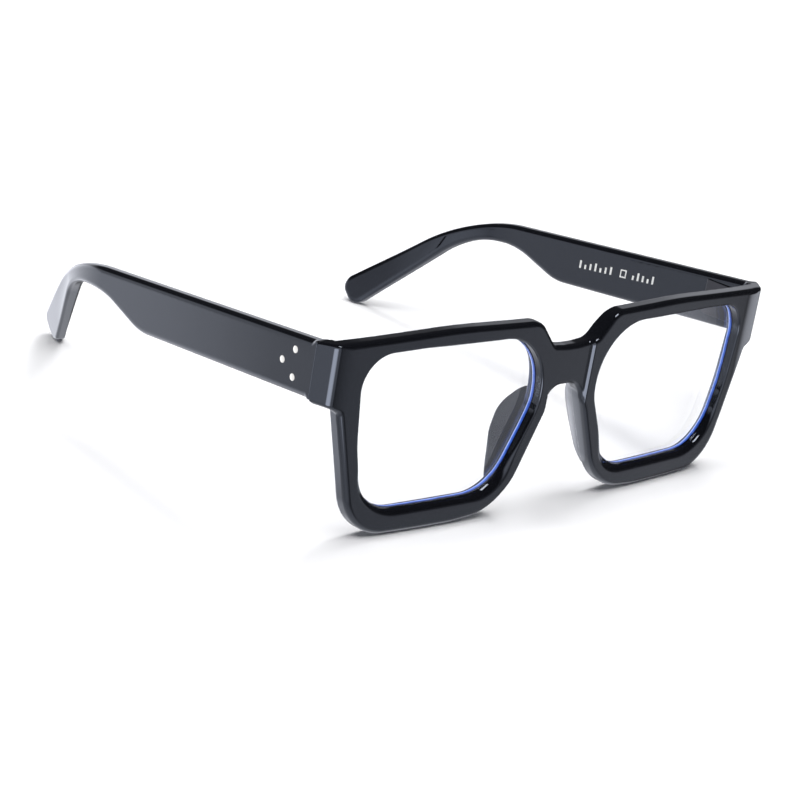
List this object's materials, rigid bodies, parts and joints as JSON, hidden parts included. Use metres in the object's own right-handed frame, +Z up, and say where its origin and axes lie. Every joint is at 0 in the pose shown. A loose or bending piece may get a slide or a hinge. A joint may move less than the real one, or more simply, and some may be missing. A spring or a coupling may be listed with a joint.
{
  "type": "blue light glasses",
  "caption": "Chunky black full-rim glasses with clear blue-filter lenses and two folding temples on barrel hinges.",
  "frame": {"origin": "on the ground under the middle of the glasses, as they stand open on their rims and temple tips", "axes": "+X to the wearer's left, +Y from the lenses back to the ears, +Z up"},
  "size_m": [0.1508, 0.1278, 0.0472],
  "materials": {
    "frame_black": "polished",
    "pad_black": "polished",
    "lens_coated": "clear with a blue-reflecting coat",
    "hinge_metal": "satin nickel",
    "screw_metal": "turned",
    "rivet_silver": "satin silver",
    "core_metal": "drawn wire",
    "print_white": "pad-printed ink"
  },
  "bodies": {
    "front": {"front_frame": "frame_black", "nose_pad_left": "pad_black", "nose_pad_right": "pad_black", "lens_left": "lens_coated", "lens_right": "lens_coated", "hinge_front_leaf_left": "hinge_metal", "hinge_front_leaf_right": "hinge_metal", "hinge_screw_left": "screw_metal", "hinge_screw_right": "screw_metal"},
    "temple_left_arm": {"temple_left": "frame_black", "temple_rivets_left": "rivet_silver", "hinge_temple_leaf_left": "hinge_metal", "core_wire_left": "core_metal"},
    "temple_right_arm": {"temple_right": "frame_black", "temple_rivets_right": "rivet_silver", "hinge_temple_leaf_right": "hinge_metal", "core_wire_right": "core_metal"}
  },
  "joints": [
    {"name": "fold_left", "type": "hinge", "parent": "front", "child": "temple_left_arm", "pos_m": [0.0698, -0.05331, 0.03878], "axis": [0, 0.0349, 0.9994], "range_deg": [0, 80]},
    {"name": "fold_right", "type": "hinge", "parent": "front", "child": "temple_right_arm", "pos_m": [-0.0698, -0.05331, 0.03878], "axis": [0, -0.0349, -0.9994], "range_deg": [0, 68]}
  ]
}
